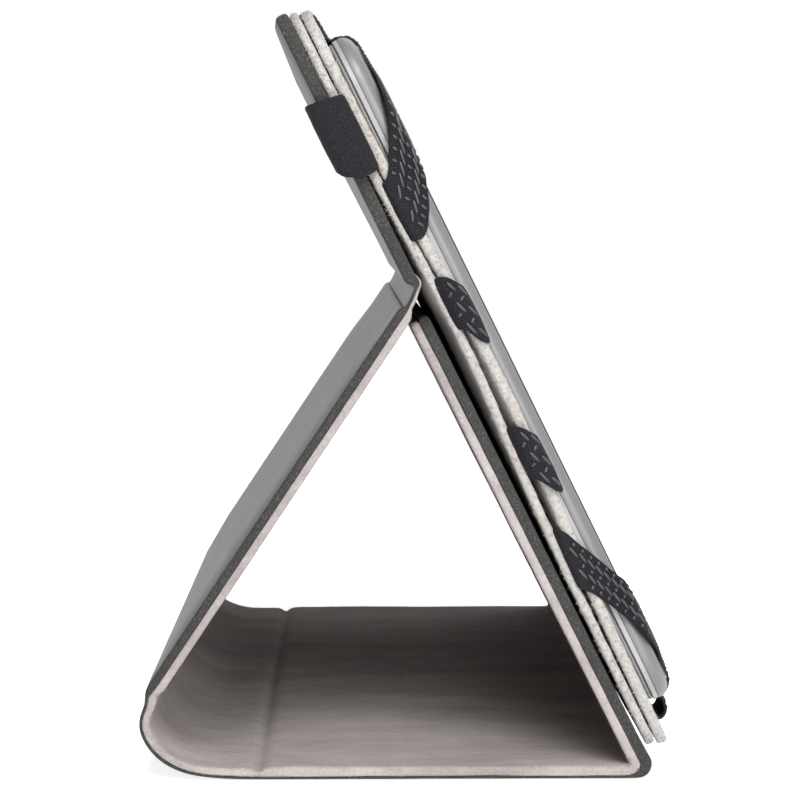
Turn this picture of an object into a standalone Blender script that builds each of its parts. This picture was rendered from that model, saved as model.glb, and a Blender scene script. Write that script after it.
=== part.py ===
"""Universal folio tablet case, standing as an A-frame.

One strip of imitation leather folds round in a closed triangle: the upper back
panel and the plates that hold the tablet, the leg, the soft spine, the base, and
the prop that stands up from the base's corner and tucks its tip under the apex.
Units are metres, +Z is up, Y runs along the folds, and the origin is on the
floor under the middle of the object.
"""

import math

import bpy
import bmesh
from mathutils import Matrix, Vector

MM = 0.001

# ---- Driving dimensions -------------------------------------------------------
CASE_WIDTH = 265.0 * MM             # length of every fold, along Y
HALF = CASE_WIDTH / 2
GAP = 0.3 * MM                      # clearance between pieces that touch
CORNER_RADIUS = 3.0 * MM
HINGE_RADIUS = 0.8 * MM             # corners beside a fold
SKIN = 0.8 * MM                     # leather thickness
BOARD_INSET = 3.0 * MM              # boards stop this far inside the skins
BOARD_RADIUS = 4.5 * MM             # a board's free corners

HOLDER_TILT = math.radians(26.2)    # tablet and plates, leaning from the vertical
LEG_TILT = math.radians(33.7)
PROP_TILT = math.radians(26.6)

# Holder frame: x runs down the plates from the top edge, z points out of the screen
HOLDER_TOP = Vector((-31.08 * MM, 0.0, 173.85 * MM))
UPPER_LENGTH = 68.3 * MM
UPPER_THICKNESS = 2.7 * MM
PLATE_HALF = HALF - 1.0 * MM
PLATE_RADIUS = 7.0 * MM
BACK_PLATE_SPAN = (0.6 * MM, 188.2 * MM)
BACK_PLATE_LEVELS = (3.0 * MM, 5.0 * MM)
FRONT_PLATE_SPAN = (1.4 * MM, 189.2 * MM)
FRONT_PLATE_LEVELS = (6.1 * MM, 8.0 * MM)
PLATE_FLOOR = 0.7 * MM              # felt on the outside of a plate's board
PLATE_RIM = 2.0 * MM                # felt rolled round the edge of a plate's board
TABLET_SPAN = (9.6 * MM, 181.2 * MM)
TABLET_LEVELS = (8.3 * MM, 14.5 * MM)
TABLET_HALF = HALF - 5.0 * MM
TABLET_RADIUS = 12.0 * MM
TABLET_EDGE = 1.6 * MM
GLASS_DEPTH = 0.9 * MM

# Leg frame: x runs up the leg, z points out of the triangle
LEG_BOTTOM = Vector((-60.87 * MM, 0.0, 21.28 * MM))
LEG_LENGTH = 105.5 * MM
LEG_SKIN = 1.9 * MM
LEG_THICKNESS = 3.7 * MM

# Prop frame: x runs up the prop, z points out of the triangle
PROP_BOTTOM = Vector((54.52 * MM, 0.0, 5.0 * MM))
PROP_LENGTH = 112.8 * MM
PROP_SKIN = 2.5 * MM
PROP_THICKNESS = 4.6 * MM

# Base, flat on the floor
BASE_SPAN = (-34.98 * MM, 49.92 * MM)
BASE_SKIN_END = 51.82 * MM
BASE_BOARD_LEVELS = (1.0 * MM, 1.8 * MM)
BASE_LINING_LEVELS = (2.05 * MM, 2.9 * MM)
CORNER_FOLD_RADIUS = 2.9 * MM

# Spine: an arc from the floor, a short upright stretch, and an arc into the leg
SPINE_START = Vector((-35.48 * MM, 0.0, 0.2 * MM))
SPINE_LOW_CENTRE = Vector((-48.08 * MM, 0.0, 14.45 * MM))
SPINE_LOW_RADIUS = 14.25 * MM
SPINE_UPRIGHT = 2.53 * MM
SPINE_TIGHT_RADIUS = 7.0 * MM
SPINE_LINING = 1.1 * MM

# Elastic
ELASTIC = 1.0 * MM
TAIL = 0.3 * MM                     # elastic squeezed between the two plates
TAIL_DEPTH = 9.0 * MM
LOOP_TAIL_LEVEL = BACK_PLATE_LEVELS[1] + 0.15 * MM
STRAP_TAIL_LEVEL = FRONT_PLATE_LEVELS[0] - 0.15 * MM - TAIL
PEN_LOOP_SPAN = (21.0 * MM, 39.0 * MM)
PEN_LOOP_SEAM = 13.0 * MM            # how far in the loop is sewn to the upper panel
LOOP_CENTRES = (78.5 * MM, 116.5 * MM)
LOOP_WIDTH = 18.5 * MM
STRAP_FOOT = (31.5 * MM, 50.5 * MM)     # on the tablet's side, from its corner
STRAP_CROSSING = (12.5 * MM, 44.5 * MM)  # on the tablet's front edges, from its corner

# Joint axes
CREASE_AXIS = Vector((-35.18 * MM, 0.0, 2.9 * MM))
LEG_AXIS = Vector((-61.09 * MM, 0.0, 21.12 * MM))
APEX_AXIS = Vector((0.15 * MM, 0.0, 110.37 * MM))
CORNER_AXIS = Vector((50.52 * MM, 0.0, 3.0 * MM))

# Where the holder frame stands
HOLDER_TURN = math.radians(90) - HOLDER_TILT
HOLDER_WORLD = Matrix.Translation(HOLDER_TOP) @ Matrix.Rotation(HOLDER_TURN, 4, "Y")

# Materials: colour, roughness, metallic
FINISHES = {
    "leather": ((0.045, 0.044, 0.044), 0.45, 0.0),
    "felt": ((0.55, 0.52, 0.49), 0.95, 0.0),
    "lining": ((0.50, 0.46, 0.44), 0.95, 0.0),
    "board": ((0.42, 0.36, 0.28), 0.9, 0.0),
    "elastic": ((0.018, 0.018, 0.022), 0.8, 0.0),
    "tablet_shell": ((0.36, 0.37, 0.37), 0.35, 0.6),
    "tablet_glass": ((0.01, 0.01, 0.012), 0.06, 0.0),
}


# ---- Scene and collections ----------------------------------------------------
def clear_scene():
    for thing in list(bpy.data.objects):
        bpy.data.objects.remove(thing, do_unlink=True)


def make_collection(name):
    group = bpy.data.collections.new(name)
    bpy.context.scene.collection.children.link(group)
    return group


def make_materials():
    made = {}
    for name, (colour, roughness, metallic) in FINISHES.items():
        material = bpy.data.materials.new(name)
        material.use_nodes = True
        shader = material.node_tree.nodes["Principled BSDF"]
        shader.inputs["Base Color"].default_value = (*colour, 1.0)
        shader.inputs["Roughness"].default_value = roughness
        shader.inputs["Metallic"].default_value = metallic
        made[name] = material
    return made


clear_scene()
PARTS = make_collection("tablet_case")
CUTTERS = make_collection("cutters")
MATERIALS = make_materials()


# ---- Helpers ------------------------------------------------------------------
PIVOT_WORLD = {}


def pivot(name, place, tilt=0.0, parent=None):
    """An empty on a joint's axis, turned about Y so that its x runs along the panel."""
    empty = bpy.data.objects.new(name, None)
    empty.empty_display_size = 0.01
    PARTS.objects.link(empty)
    world = Matrix.Translation(place) @ Matrix.Rotation(tilt, 4, "Y")
    if parent:
        empty.parent = parent
        empty.matrix_local = PIVOT_WORLD[parent.name].inverted() @ world
    else:
        empty.matrix_local = world
    PIVOT_WORLD[name] = world
    return empty


def place_mesh(name, mesh, finish, parent, origin, group=PARTS):
    """Put a mesh whose coordinates start at origin, a world point, under its pivot."""
    obj = bpy.data.objects.new(name, mesh)
    group.objects.link(obj)
    if finish:
        mesh.materials.clear()
        mesh.materials.append(MATERIALS[finish])
    if parent:
        obj.parent = parent
        obj.location = PIVOT_WORLD[parent.name].inverted() @ origin
    else:
        obj.location = origin
    return obj


def rounded_outline(x_span, half, radius_start, radius_end, steps=5):
    """Corner points of a rectangle with rounded corners, counterclockwise."""
    corners = [
        (x_span[1], half, radius_end, 0.0),
        (x_span[0], half, radius_start, 90.0),
        (x_span[0], -half, radius_start, 180.0),
        (x_span[1], -half, radius_end, 270.0),
    ]
    points = []
    for x, y, radius, first in corners:
        cx = x - math.copysign(radius, x - sum(x_span) / 2)
        cy = y - math.copysign(radius, y)
        for step in range(steps + 1):
            angle = math.radians(first + 90.0 * step / steps)
            points.append((cx + radius * math.cos(angle), cy + radius * math.sin(angle)))
    return points


def panel_mesh(name, x_span, half, levels, radius_start, radius_end):
    """A flat outline with its thickness, as a welded mesh."""
    curve = bpy.data.curves.new(name, "CURVE")
    curve.dimensions = "2D"
    curve.fill_mode = "BOTH"
    curve.extrude = (levels[1] - levels[0]) / 2
    outline = rounded_outline(x_span, half, radius_start, radius_end)
    spline = curve.splines.new("POLY")
    spline.points.add(len(outline) - 1)
    for point, (x, y) in zip(spline.points, outline):
        point.co = (x, y, 0.0, 1.0)
    spline.use_cyclic_u = True
    holder = bpy.data.objects.new(name, curve)
    PARTS.objects.link(holder)
    graph = bpy.context.evaluated_depsgraph_get()
    mesh = bpy.data.meshes.new_from_object(holder.evaluated_get(graph))
    bpy.data.objects.remove(holder, do_unlink=True)
    bpy.data.curves.remove(curve)
    work = bmesh.new()
    work.from_mesh(mesh)
    bmesh.ops.remove_doubles(work, verts=work.verts, dist=1e-6)
    bmesh.ops.translate(work, verts=work.verts, vec=(0, 0, sum(levels) / 2))
    bmesh.ops.recalc_face_normals(work, faces=work.faces)
    work.to_mesh(mesh)
    work.free()
    mesh.name = name
    return mesh


def panel(name, finish, parent, origin, x_span, half, levels, radius_start, radius_end):
    mesh = panel_mesh(name, x_span, half, levels, radius_start, radius_end)
    return place_mesh(name, mesh, finish, parent, origin)


def hollow(obj, x_span, half, levels, radius):
    """Cut a tray's pocket into a panel."""
    mesh = panel_mesh(obj.name + "_pocket", x_span, half, levels, radius, radius)
    cutter = place_mesh(mesh.name, mesh, None, obj.parent, Vector(), CUTTERS)
    cutter.location = obj.location
    cutter.hide_render = True
    cutter.display_type = "WIRE"
    cut = obj.modifiers.new("Pocket", "BOOLEAN")
    cut.operation = "DIFFERENCE"
    cut.solver = "EXACT"
    cut.object = cutter


def tray(name, finish, parent, origin, x_span, half, levels, floor_at, radii, wall=SKIN, floor=SKIN):
    """A panel wrapped over its board: one face closed, the other open."""
    body = panel(name, finish, parent, origin, x_span, half, levels, *radii)
    inner_span = (x_span[0] + wall, x_span[1] - wall)
    if floor_at == "low":
        pocket = (levels[0] + floor, levels[1] + SKIN)
    else:
        pocket = (levels[0] - SKIN, levels[1] - floor)
    hollow(body, inner_span, half - wall, pocket, max(radii[0] - wall, 0.3 * MM))
    return body


def board(name, parent, origin, x_span, half, levels, radii=(1 * MM, 1 * MM)):
    inset = (x_span[0] + BOARD_INSET, x_span[1] - BOARD_INSET)
    return panel(name, "board", parent, origin, inset, half - BOARD_INSET, levels, *radii)


def profile_shell(name, finish, parent, points, half, thickness):
    """An open profile in the XZ plane, drawn out along Y and thickened to its right."""
    mesh = bpy.data.meshes.new(name)
    work = bmesh.new()
    near = [work.verts.new((p.x, -half, p.z)) for p in points]
    edges = [work.edges.new(pair) for pair in zip(near, near[1:])]
    grown = bmesh.ops.extrude_edge_only(work, edges=edges)
    far = [item for item in grown["geom"] if isinstance(item, bmesh.types.BMVert)]
    bmesh.ops.translate(work, verts=far, vec=(0, 2 * half, 0))
    work.normal_update()
    along = points[1] - points[0]
    right = Vector((along.z, 0, -along.x))
    first = near[0].link_faces[0]
    if first.normal.dot(right) < 0:
        bmesh.ops.reverse_faces(work, faces=work.faces)
    work.to_mesh(mesh)
    work.free()
    for face in mesh.polygons:
        face.use_smooth = True
    obj = place_mesh(name, mesh, finish, parent, Vector())
    obj.matrix_parent_inverse = Matrix()
    obj.matrix_local = PIVOT_WORLD[parent.name].inverted()
    shell = obj.modifiers.new("Thickness", "SOLIDIFY")
    shell.thickness = thickness
    shell.offset = 1.0
    shell.use_even_offset = True
    return obj


def arc(centre, radius, first, last, steps):
    points = []
    for step in range(steps + 1):
        angle = first + (last - first) * step / steps
        points.append(centre + Vector((radius * math.cos(angle), 0, radius * math.sin(angle))))
    return points


def ribbon(name, stations, thickness, parent, origin):
    """A band of elastic through stations of (one edge, other edge, outward direction).

    An outward direction shorter than 1 makes the band thinner there.
    """
    mesh = bpy.data.meshes.new(name)
    work = bmesh.new()
    rings = []
    for left, right, outward in stations:
        step = outward.normalized() * thickness * min(outward.length, 1.0)
        ring = [left, right, right + step, left + step]
        rings.append([work.verts.new(point) for point in ring])
    for first, second in zip(rings, rings[1:]):
        for index in range(4):
            after = (index + 1) % 4
            work.faces.new((first[index], first[after], second[after], second[index]))
    work.faces.new(list(reversed(rings[0])))
    work.faces.new(rings[-1])
    bmesh.ops.triangulate(work, faces=work.faces)
    bmesh.ops.recalc_face_normals(work, faces=work.faces)
    if work.calc_volume(signed=True) < 0:
        bmesh.ops.reverse_faces(work, faces=work.faces)
    work.to_mesh(mesh)
    work.free()
    for face in mesh.polygons:
        face.use_smooth = True
    mesh.set_sharp_from_angle(angle=math.radians(40))
    return place_mesh(name, mesh, "elastic", parent, origin)


# ---- Base ---------------------------------------------------------------------
def make_base():
    base = pivot("base_frame", Vector((0, 0, 0)))
    panel("base_skin", "leather", base, Vector(), (BASE_SPAN[0], BASE_SKIN_END), HALF,
          (0.0, SKIN - 0.05 * MM), HINGE_RADIUS, HINGE_RADIUS)
    panel("base_board", "board", base, Vector(), (BASE_SPAN[0] + 1 * MM, BASE_SPAN[1] - 1 * MM),
          HALF - BOARD_INSET, BASE_BOARD_LEVELS, HINGE_RADIUS, HINGE_RADIUS)
    panel("base_lining", "lining", base, Vector(), BASE_SPAN, HALF - 0.2 * MM,
          BASE_LINING_LEVELS, HINGE_RADIUS, HINGE_RADIUS)
    centre = Vector((BASE_SKIN_END + GAP, 0, CORNER_FOLD_RADIUS))
    roll = arc(centre, CORNER_FOLD_RADIUS, math.radians(-90), math.radians(14), 8)
    profile_shell("corner_fold", "leather", base, list(reversed(roll)), HALF, SKIN)
    return base


# ---- Spine --------------------------------------------------------------------
def spine_outline():
    low = arc(SPINE_LOW_CENTRE, SPINE_LOW_RADIUS, math.radians(270), math.radians(180), 12)
    tight_centre = low[-1] + Vector((SPINE_TIGHT_RADIUS, 0, SPINE_UPRIGHT))
    end = math.radians(180) - LEG_TILT
    return [SPINE_START] + low + arc(tight_centre, SPINE_TIGHT_RADIUS, math.radians(180), end, 6)


def inset_profile(points, depth):
    """The same profile, moved to its right-hand side by depth."""
    moved = []
    for index, point in enumerate(points):
        before = points[max(index - 1, 0)]
        after = points[min(index + 1, len(points) - 1)]
        along = (after - before).normalized()
        moved.append(point + Vector((along.z, 0, -along.x)) * depth)
    return moved


def make_spine(base):
    spine = pivot("spine_frame", CREASE_AXIS, parent=base)
    outer = spine_outline()
    profile_shell("spine_skin", "leather", spine, outer, HALF, SKIN)
    inner = inset_profile(outer, SKIN + GAP)
    profile_shell("spine_lining", "lining", spine, inner, HALF - 0.2 * MM, SPINE_LINING)
    return spine


# ---- Leg ----------------------------------------------------------------------
def make_leg(spine):
    leg = pivot("leg_frame", LEG_AXIS, LEG_TILT - math.radians(90), spine)
    span = (0.0, LEG_LENGTH)
    radii = (HINGE_RADIUS, HINGE_RADIUS)
    tray("leg_skin", "leather", leg, LEG_BOTTOM, span, HALF, (-LEG_SKIN, 0.0), "high", radii)
    board("leg_board", leg, LEG_BOTTOM, span, HALF, (-LEG_SKIN + 0.05 * MM, -SKIN - GAP))
    panel("leg_lining", "lining", leg, LEG_BOTTOM, (0.5 * MM, LEG_LENGTH - 0.5 * MM),
          HALF - 0.2 * MM, (-LEG_THICKNESS, -LEG_SKIN - GAP), *radii)
    start = math.radians(-72)
    end = math.radians(98)
    fold = arc(APEX_AXIS, 2.2 * MM, end, start, 8)
    profile_shell("apex_fold", "leather", leg, fold, HALF - 0.3 * MM, SKIN)
    return leg


# ---- Prop ---------------------------------------------------------------------
def make_prop(base):
    prop = pivot("prop_frame", CORNER_AXIS, -PROP_TILT - math.radians(90), base)
    span = (0.0, PROP_LENGTH)
    free = (HINGE_RADIUS, CORNER_RADIUS)
    levels = (0.0, PROP_SKIN)
    tray("prop_skin", "leather", prop, PROP_BOTTOM, span, HALF, levels, "low", free)
    board("prop_board", prop, PROP_BOTTOM, span, HALF, (SKIN + GAP, PROP_SKIN - 0.05 * MM),
          (1 * MM, BOARD_RADIUS))
    panel("prop_lining", "lining", prop, PROP_BOTTOM, (0.5 * MM, PROP_LENGTH - 0.5 * MM),
          HALF - 0.2 * MM, (PROP_SKIN + GAP, PROP_THICKNESS), *free)
    return prop


# ---- Holder: upper panel, two plates and the tablet ---------------------------
def make_holder(leg):
    holder = pivot("holder_frame", APEX_AXIS, HOLDER_TURN, leg)
    span = (0.0, UPPER_LENGTH)
    free = (CORNER_RADIUS, HINGE_RADIUS)
    tray("upper_skin", "leather", holder, HOLDER_TOP, span, HALF,
         (0.0, UPPER_THICKNESS), "low", free)
    board("upper_board", holder, HOLDER_TOP, span, HALF, (SKIN + GAP, UPPER_THICKNESS - 0.1 * MM),
          (BOARD_RADIUS, 1 * MM))
    round_all = (PLATE_RADIUS, PLATE_RADIUS)
    low, high = BACK_PLATE_LEVELS
    tray("back_plate_felt", "felt", holder, HOLDER_TOP, BACK_PLATE_SPAN, PLATE_HALF,
         BACK_PLATE_LEVELS, "low", round_all, PLATE_RIM, PLATE_FLOOR)
    board("back_plate_board", holder, HOLDER_TOP, BACK_PLATE_SPAN, PLATE_HALF,
          (low + PLATE_FLOOR + GAP, high - 0.1 * MM), (BOARD_RADIUS, BOARD_RADIUS))
    low, high = FRONT_PLATE_LEVELS
    tray("front_plate_felt", "felt", holder, HOLDER_TOP, FRONT_PLATE_SPAN, PLATE_HALF,
         FRONT_PLATE_LEVELS, "high", round_all, PLATE_RIM, PLATE_FLOOR)
    board("front_plate_board", holder, HOLDER_TOP, FRONT_PLATE_SPAN, PLATE_HALF,
          (low + 0.1 * MM, high - PLATE_FLOOR - GAP), (BOARD_RADIUS, BOARD_RADIUS))
    make_tablet(holder)
    return holder


def soften(obj, width, segments=3, angle=60.0):
    edge = obj.modifiers.new("Rounded edges", "BEVEL")
    edge.width = width
    edge.segments = segments
    edge.limit_method = "ANGLE"
    edge.angle_limit = math.radians(angle)
    obj.data.shade_smooth()
    obj.data.set_sharp_from_angle(angle=math.radians(50))


def make_tablet(holder):
    split = TABLET_LEVELS[1] - GLASS_DEPTH
    radii = (TABLET_RADIUS, TABLET_RADIUS)
    shell = panel("tablet_shell", "tablet_shell", holder, HOLDER_TOP, TABLET_SPAN, TABLET_HALF,
                  (TABLET_LEVELS[0], split - GAP), *radii)
    soften(shell, TABLET_EDGE)
    rim = 0.4 * MM
    glass_span = (TABLET_SPAN[0] + rim, TABLET_SPAN[1] - rim)
    glass = panel("tablet_glass", "tablet_glass", holder, HOLDER_TOP, glass_span,
                  TABLET_HALF - rim, (split, TABLET_LEVELS[1]), *radii)
    soften(glass, 0.3 * MM, 2)


# ---- Elastic pieces -----------------------------------------------------------
def corner_strap(name, holder, side, top):
    """Elastic across one corner of the tablet, from a plate's edge to the plate's face.

    side is -1 or +1 for the near or far edge, top is True for the upper corners.
    """
    corner_x = TABLET_SPAN[0] if top else TABLET_SPAN[1]
    down = 1.0 if top else -1.0
    side_out = Vector((0, side, 0))
    forward = Vector((0, 0, 1))
    end_out = Vector((-down, 0, 0))
    slant = forward + Vector((-down, side, 0)).normalized() * 0.15

    def at(along, inward, level):
        """A point measured from the tablet's corner, down its side and in along its end."""
        return Vector((corner_x + down * along, side * (TABLET_HALF - inward), level))

    front = TABLET_LEVELS[1] + GAP
    over = front - 0.25 * MM
    middle = sum(TABLET_LEVELS) / 2
    plate_face = FRONT_PLATE_LEVELS[1] + GAP
    wrap = TABLET_HALF - PLATE_HALF - GAP
    root = wrap + TAIL_DEPTH + GAP
    low, high = STRAP_FOOT
    near, far = STRAP_CROSSING
    end = FRONT_PLATE_SPAN[0] - TABLET_SPAN[0] if top else -6.0 * MM
    # (one edge's along and inward), (the other edge's), level, outward
    rows = [
        ((low, root), (high, root), STRAP_TAIL_LEVEL + TAIL, -forward * 0.3),
        ((low, wrap), (high, wrap), STRAP_TAIL_LEVEL + TAIL, side_out * 0.2 - forward * 0.3),
        ((low, wrap), (high, wrap), STRAP_TAIL_LEVEL + 1 * MM, side_out),
        ((low - 2 * MM, wrap), (high - 1 * MM, wrap), plate_face, side_out),
        ((low - 11 * MM, -1.2 * MM), (high - 2.5 * MM, -1.2 * MM), middle, side_out + slant * 0.35),
        ((near + 2 * MM, -0.7 * MM), (far + 0.6 * MM, -0.7 * MM), over, side_out + forward),
        ((near - 1 * MM, 1.5 * MM), (far - 1.5 * MM, 1.5 * MM), front, slant),
        ((1.5 * MM, near - 1 * MM), (1.5 * MM, far - 1.5 * MM), front, slant),
        ((-0.7 * MM, near + 2 * MM), (-0.7 * MM, far + 0.6 * MM), over, end_out + forward),
        ((-1 * MM, low - 11 * MM), (-1 * MM, high - 2.5 * MM), middle, end_out + slant * 0.35),
        ((-2.4 * MM, low - 3 * MM), (-2.4 * MM, high - 1 * MM), plate_face + 0.6 * MM,
         end_out * 0.6 + forward),
        ((end + 0.5 * MM, low), (end + 0.5 * MM, high), plate_face, forward),
    ]
    stations = []
    for first, second, level, outward in rows:
        stations.append((at(*first, level), at(*second, level), outward))
    place = HOLDER_WORLD @ at(0, 0, front)
    frame = pivot(name + "_frame", place, HOLDER_TURN, holder)
    return ribbon(name, stations, ELASTIC, frame, HOLDER_TOP)


def edge_loop(name, holder, side, centre):
    """Elastic that comes out of the groove and curls over the front plate's edge."""
    plate_face = FRONT_PLATE_LEVELS[1]
    edge = PLATE_HALF + GAP
    side_out = Vector((0, side, 0))
    forward = Vector((0, 0, 1))
    half = LOOP_WIDTH / 2
    # distance from the middle, level, outward, how far the edges draw in
    rows = [
        (edge - TAIL_DEPTH - GAP, STRAP_TAIL_LEVEL + TAIL, -forward * 0.3, 0.0),
        (edge, STRAP_TAIL_LEVEL + TAIL, side_out * 0.2 - forward * 0.3, 0.0),
        (edge, STRAP_TAIL_LEVEL + 1 * MM, side_out, 0.0),
        (edge - 0.1 * MM, plate_face + 0.6 * MM, side_out + forward * 0.3, 0.8 * MM),
        (edge - 1.0 * MM, plate_face + 1.2 * MM, side_out * 0.5 + forward, 1.6 * MM),
        (edge - 2.0 * MM, plate_face + 1.2 * MM, forward - side_out * 0.5, 1.6 * MM),
        (edge - 2.4 * MM, plate_face + GAP, forward * 0.6 - side_out * 0.8, 1.6 * MM),
    ]
    stations = []
    for distance, level, outward, narrow in rows:
        stations.append((Vector((centre - half + narrow, side * distance, level)),
                         Vector((centre + half - narrow, side * distance, level)), outward))
    return ribbon(name, stations, ELASTIC, holder, HOLDER_TOP)


def pen_loop(holder):
    """The loop for a pen, from the groove round the near edge to the back of the upper panel."""
    frame = pivot("pen_loop_frame", HOLDER_TOP, HOLDER_TURN, holder)
    low, high = PEN_LOOP_SPAN
    backward = Vector((0, 0, -1))
    side_out = Vector((0, -1, 0))
    wrap = HALF + GAP
    # distance from the middle, level, outward
    rows = [
        (wrap, BACK_PLATE_LEVELS[1] - GAP, side_out),
        (wrap, 0.3 * MM, side_out),
        (wrap - 0.3 * MM, -GAP, side_out + backward),
        (wrap - 2.0 * MM, -GAP, backward),
        (wrap - PEN_LOOP_SEAM, -GAP, backward),
    ]
    stations = []
    for distance, level, outward in rows:
        stations.append((Vector((low, -distance, level)), Vector((high, -distance, level)), outward))
    ribbon("pen_loop", stations, 1.2 * MM, frame, HOLDER_TOP)
    tail = []
    for distance in (PLATE_HALF - TAIL_DEPTH, PLATE_HALF + 1.8 * MM):
        tail.append((Vector((low, -distance, LOOP_TAIL_LEVEL)), Vector((high, -distance, LOOP_TAIL_LEVEL)),
                     Vector((0, 0, 1))))
    ribbon("pen_loop_tail", tail, TAIL, holder, HOLDER_TOP)


def make_elastic(holder):
    for side, word in ((-1, "near"), (1, "far")):
        corner_strap(f"corner_strap_{word}_top", holder, side, True)
        corner_strap(f"corner_strap_{word}_bottom", holder, side, False)
        edge_loop(f"edge_loop_{word}_upper", holder, side, LOOP_CENTRES[0])
        edge_loop(f"edge_loop_{word}_lower", holder, side, LOOP_CENTRES[1])
    pen_loop(holder)


base_frame = make_base()
spine_frame = make_spine(base_frame)
leg_frame = make_leg(spine_frame)
prop_frame = make_prop(base_frame)
holder_frame = make_holder(leg_frame)
make_elastic(holder_frame)
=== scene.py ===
import math
import random

import bpy
import bmesh
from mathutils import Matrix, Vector, noise


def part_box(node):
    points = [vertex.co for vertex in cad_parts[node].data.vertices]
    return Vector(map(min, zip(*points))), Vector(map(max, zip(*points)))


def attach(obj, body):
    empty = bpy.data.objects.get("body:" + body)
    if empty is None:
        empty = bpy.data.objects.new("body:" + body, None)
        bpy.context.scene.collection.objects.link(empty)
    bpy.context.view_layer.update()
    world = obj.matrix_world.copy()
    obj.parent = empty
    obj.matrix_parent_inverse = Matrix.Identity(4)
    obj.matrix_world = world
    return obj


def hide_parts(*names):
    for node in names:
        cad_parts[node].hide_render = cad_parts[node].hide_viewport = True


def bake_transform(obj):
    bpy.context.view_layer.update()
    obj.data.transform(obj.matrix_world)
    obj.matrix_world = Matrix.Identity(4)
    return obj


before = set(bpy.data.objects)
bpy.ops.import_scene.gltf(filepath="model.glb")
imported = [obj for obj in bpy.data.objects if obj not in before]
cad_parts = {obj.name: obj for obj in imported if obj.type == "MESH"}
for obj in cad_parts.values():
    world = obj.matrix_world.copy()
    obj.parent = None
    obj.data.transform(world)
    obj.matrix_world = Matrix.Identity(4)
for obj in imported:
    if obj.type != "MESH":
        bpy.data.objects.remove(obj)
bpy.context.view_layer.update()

MM = 0.001
scene = bpy.context.scene
scene.view_settings.view_transform = "Standard"


# ---- Driving sizes, from the frame ---------------------------------------------
def millimetres(node):
    low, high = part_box(node)
    return low / MM, high / MM


HALF = millimetres("base_skin")[1].y            # half the length of every fold
PLATE_HALF = millimetres("back_plate_felt")[1].y
TABLET_HALF = millimetres("tablet_shell")[1].y

HOLDER_TILT = math.radians(26.2)
LEG_TILT = math.radians(33.7)
PROP_TILT = math.radians(26.6)
HOLDER_TOP = Vector((-31.08, 173.85))           # top edge of the upper panel's outer face
LEG_BOTTOM = Vector((-60.87, 21.28))
PROP_BOTTOM = Vector((54.52, 5.0))
UPPER_LENGTH = 68.3
UPPER_THICKNESS = 2.9
LEG_LENGTH = 105.5
LEG_EDGE = 1.9                                  # turned leather edge on the leg
LEG_MIDDLE = 60.0                               # where leather and lining are cut on the leg
LEG_THICKNESS = 3.75
PROP_LENGTH = 113.6
PROP_EDGE = 2.5
PROP_THICKNESS = 4.6
TIP_RADIUS = 6.5                                # rounded corners at the prop's tip
TOP_RADIUS = 2.5
PADDING = 1.1                                   # how far the outer faces stand proud
PLATE_RADIUS = 7.0
TABLET_SPAN = (9.6, 181.2)
TABLET_RADIUS = 12.0
CREASE_X = -35.3


def side_view(origin, along, out):
    """A panel's own side view: (s, level) to a point of the XZ plane."""
    def place(s, level):
        return origin + along * s + out * level
    return place


on_holder = side_view(HOLDER_TOP,
                      Vector((math.sin(HOLDER_TILT), -math.cos(HOLDER_TILT))),
                      Vector((math.cos(HOLDER_TILT), math.sin(HOLDER_TILT))))
on_leg = side_view(LEG_BOTTOM,
                   Vector((math.sin(LEG_TILT), math.cos(LEG_TILT))),
                   Vector((math.cos(LEG_TILT), -math.sin(LEG_TILT))))
on_prop = side_view(PROP_BOTTOM,
                    Vector((-math.sin(PROP_TILT), math.cos(PROP_TILT))),
                    Vector((-math.cos(PROP_TILT), -math.sin(PROP_TILT))))


def in_row(place, s, y, level):
    """A point of a side view, at y along the folds, in the row frame in metres."""
    flat = place(s, level)
    return Vector((flat.x, y, flat.y)) * MM


# ---- Camera, light and floor ----------------------------------------------------
CAMERA_LENS = 123.4
CAMERA_PLACE = (-0.0134, -0.7555, 0.1275)
CAMERA_DIP = 3.69                               # degrees below level
CAMERA_YAW = -0.98
AMBIENT = 0.16                                  # diffuse share of the white surroundings
FLOOR_GLOW = 0.78
FLOOR_DROP = 0.0004


def make_camera():
    data = bpy.data.cameras.new("camera")
    data.lens = CAMERA_LENS
    data.clip_start = 0.01
    camera = bpy.data.objects.new("camera", data)
    scene.collection.objects.link(camera)
    camera.location = CAMERA_PLACE
    camera.rotation_euler = (math.radians(90 - CAMERA_DIP), 0, math.radians(CAMERA_YAW))
    scene.camera = camera


def make_area_light(name, place, target, size, power):
    data = bpy.data.lights.new(name, "AREA")
    data.shape = "SQUARE"
    data.size = size
    data.energy = power
    lamp = bpy.data.objects.new(name, data)
    scene.collection.objects.link(lamp)
    lamp.location = place
    lamp.rotation_euler = (Vector(target) - Vector(place)).to_track_quat("-Z", "Y").to_euler()
    lamp.visible_camera = False


def make_studio():
    world = bpy.data.worlds.new("studio")
    scene.world = world
    world.use_nodes = True
    background = world.node_tree.nodes["Background"]
    background.inputs["Color"].default_value = (1.0, 1.0, 1.0, 1.0)
    rays = world.node_tree.nodes.new("ShaderNodeLightPath")
    level = world.node_tree.nodes.new("ShaderNodeMapRange")
    level.inputs["To Min"].default_value = 1.0
    level.inputs["To Max"].default_value = AMBIENT
    world.node_tree.links.new(rays.outputs["Is Diffuse Ray"], level.inputs["Value"])
    world.node_tree.links.new(level.outputs["Result"], background.inputs["Strength"])
    make_area_light("key_light", (0.12, -0.72, 0.66), (0, -0.1, 0.05), 0.55, 10)
    make_area_light("front_light", (0.45, -0.95, 0.18), (0, -0.1, 0.05), 0.4, 4)
    make_area_light("back_light", (0.25, 0.8, 0.8), (0, 0.1, 0.06), 0.7, 1.2)


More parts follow.
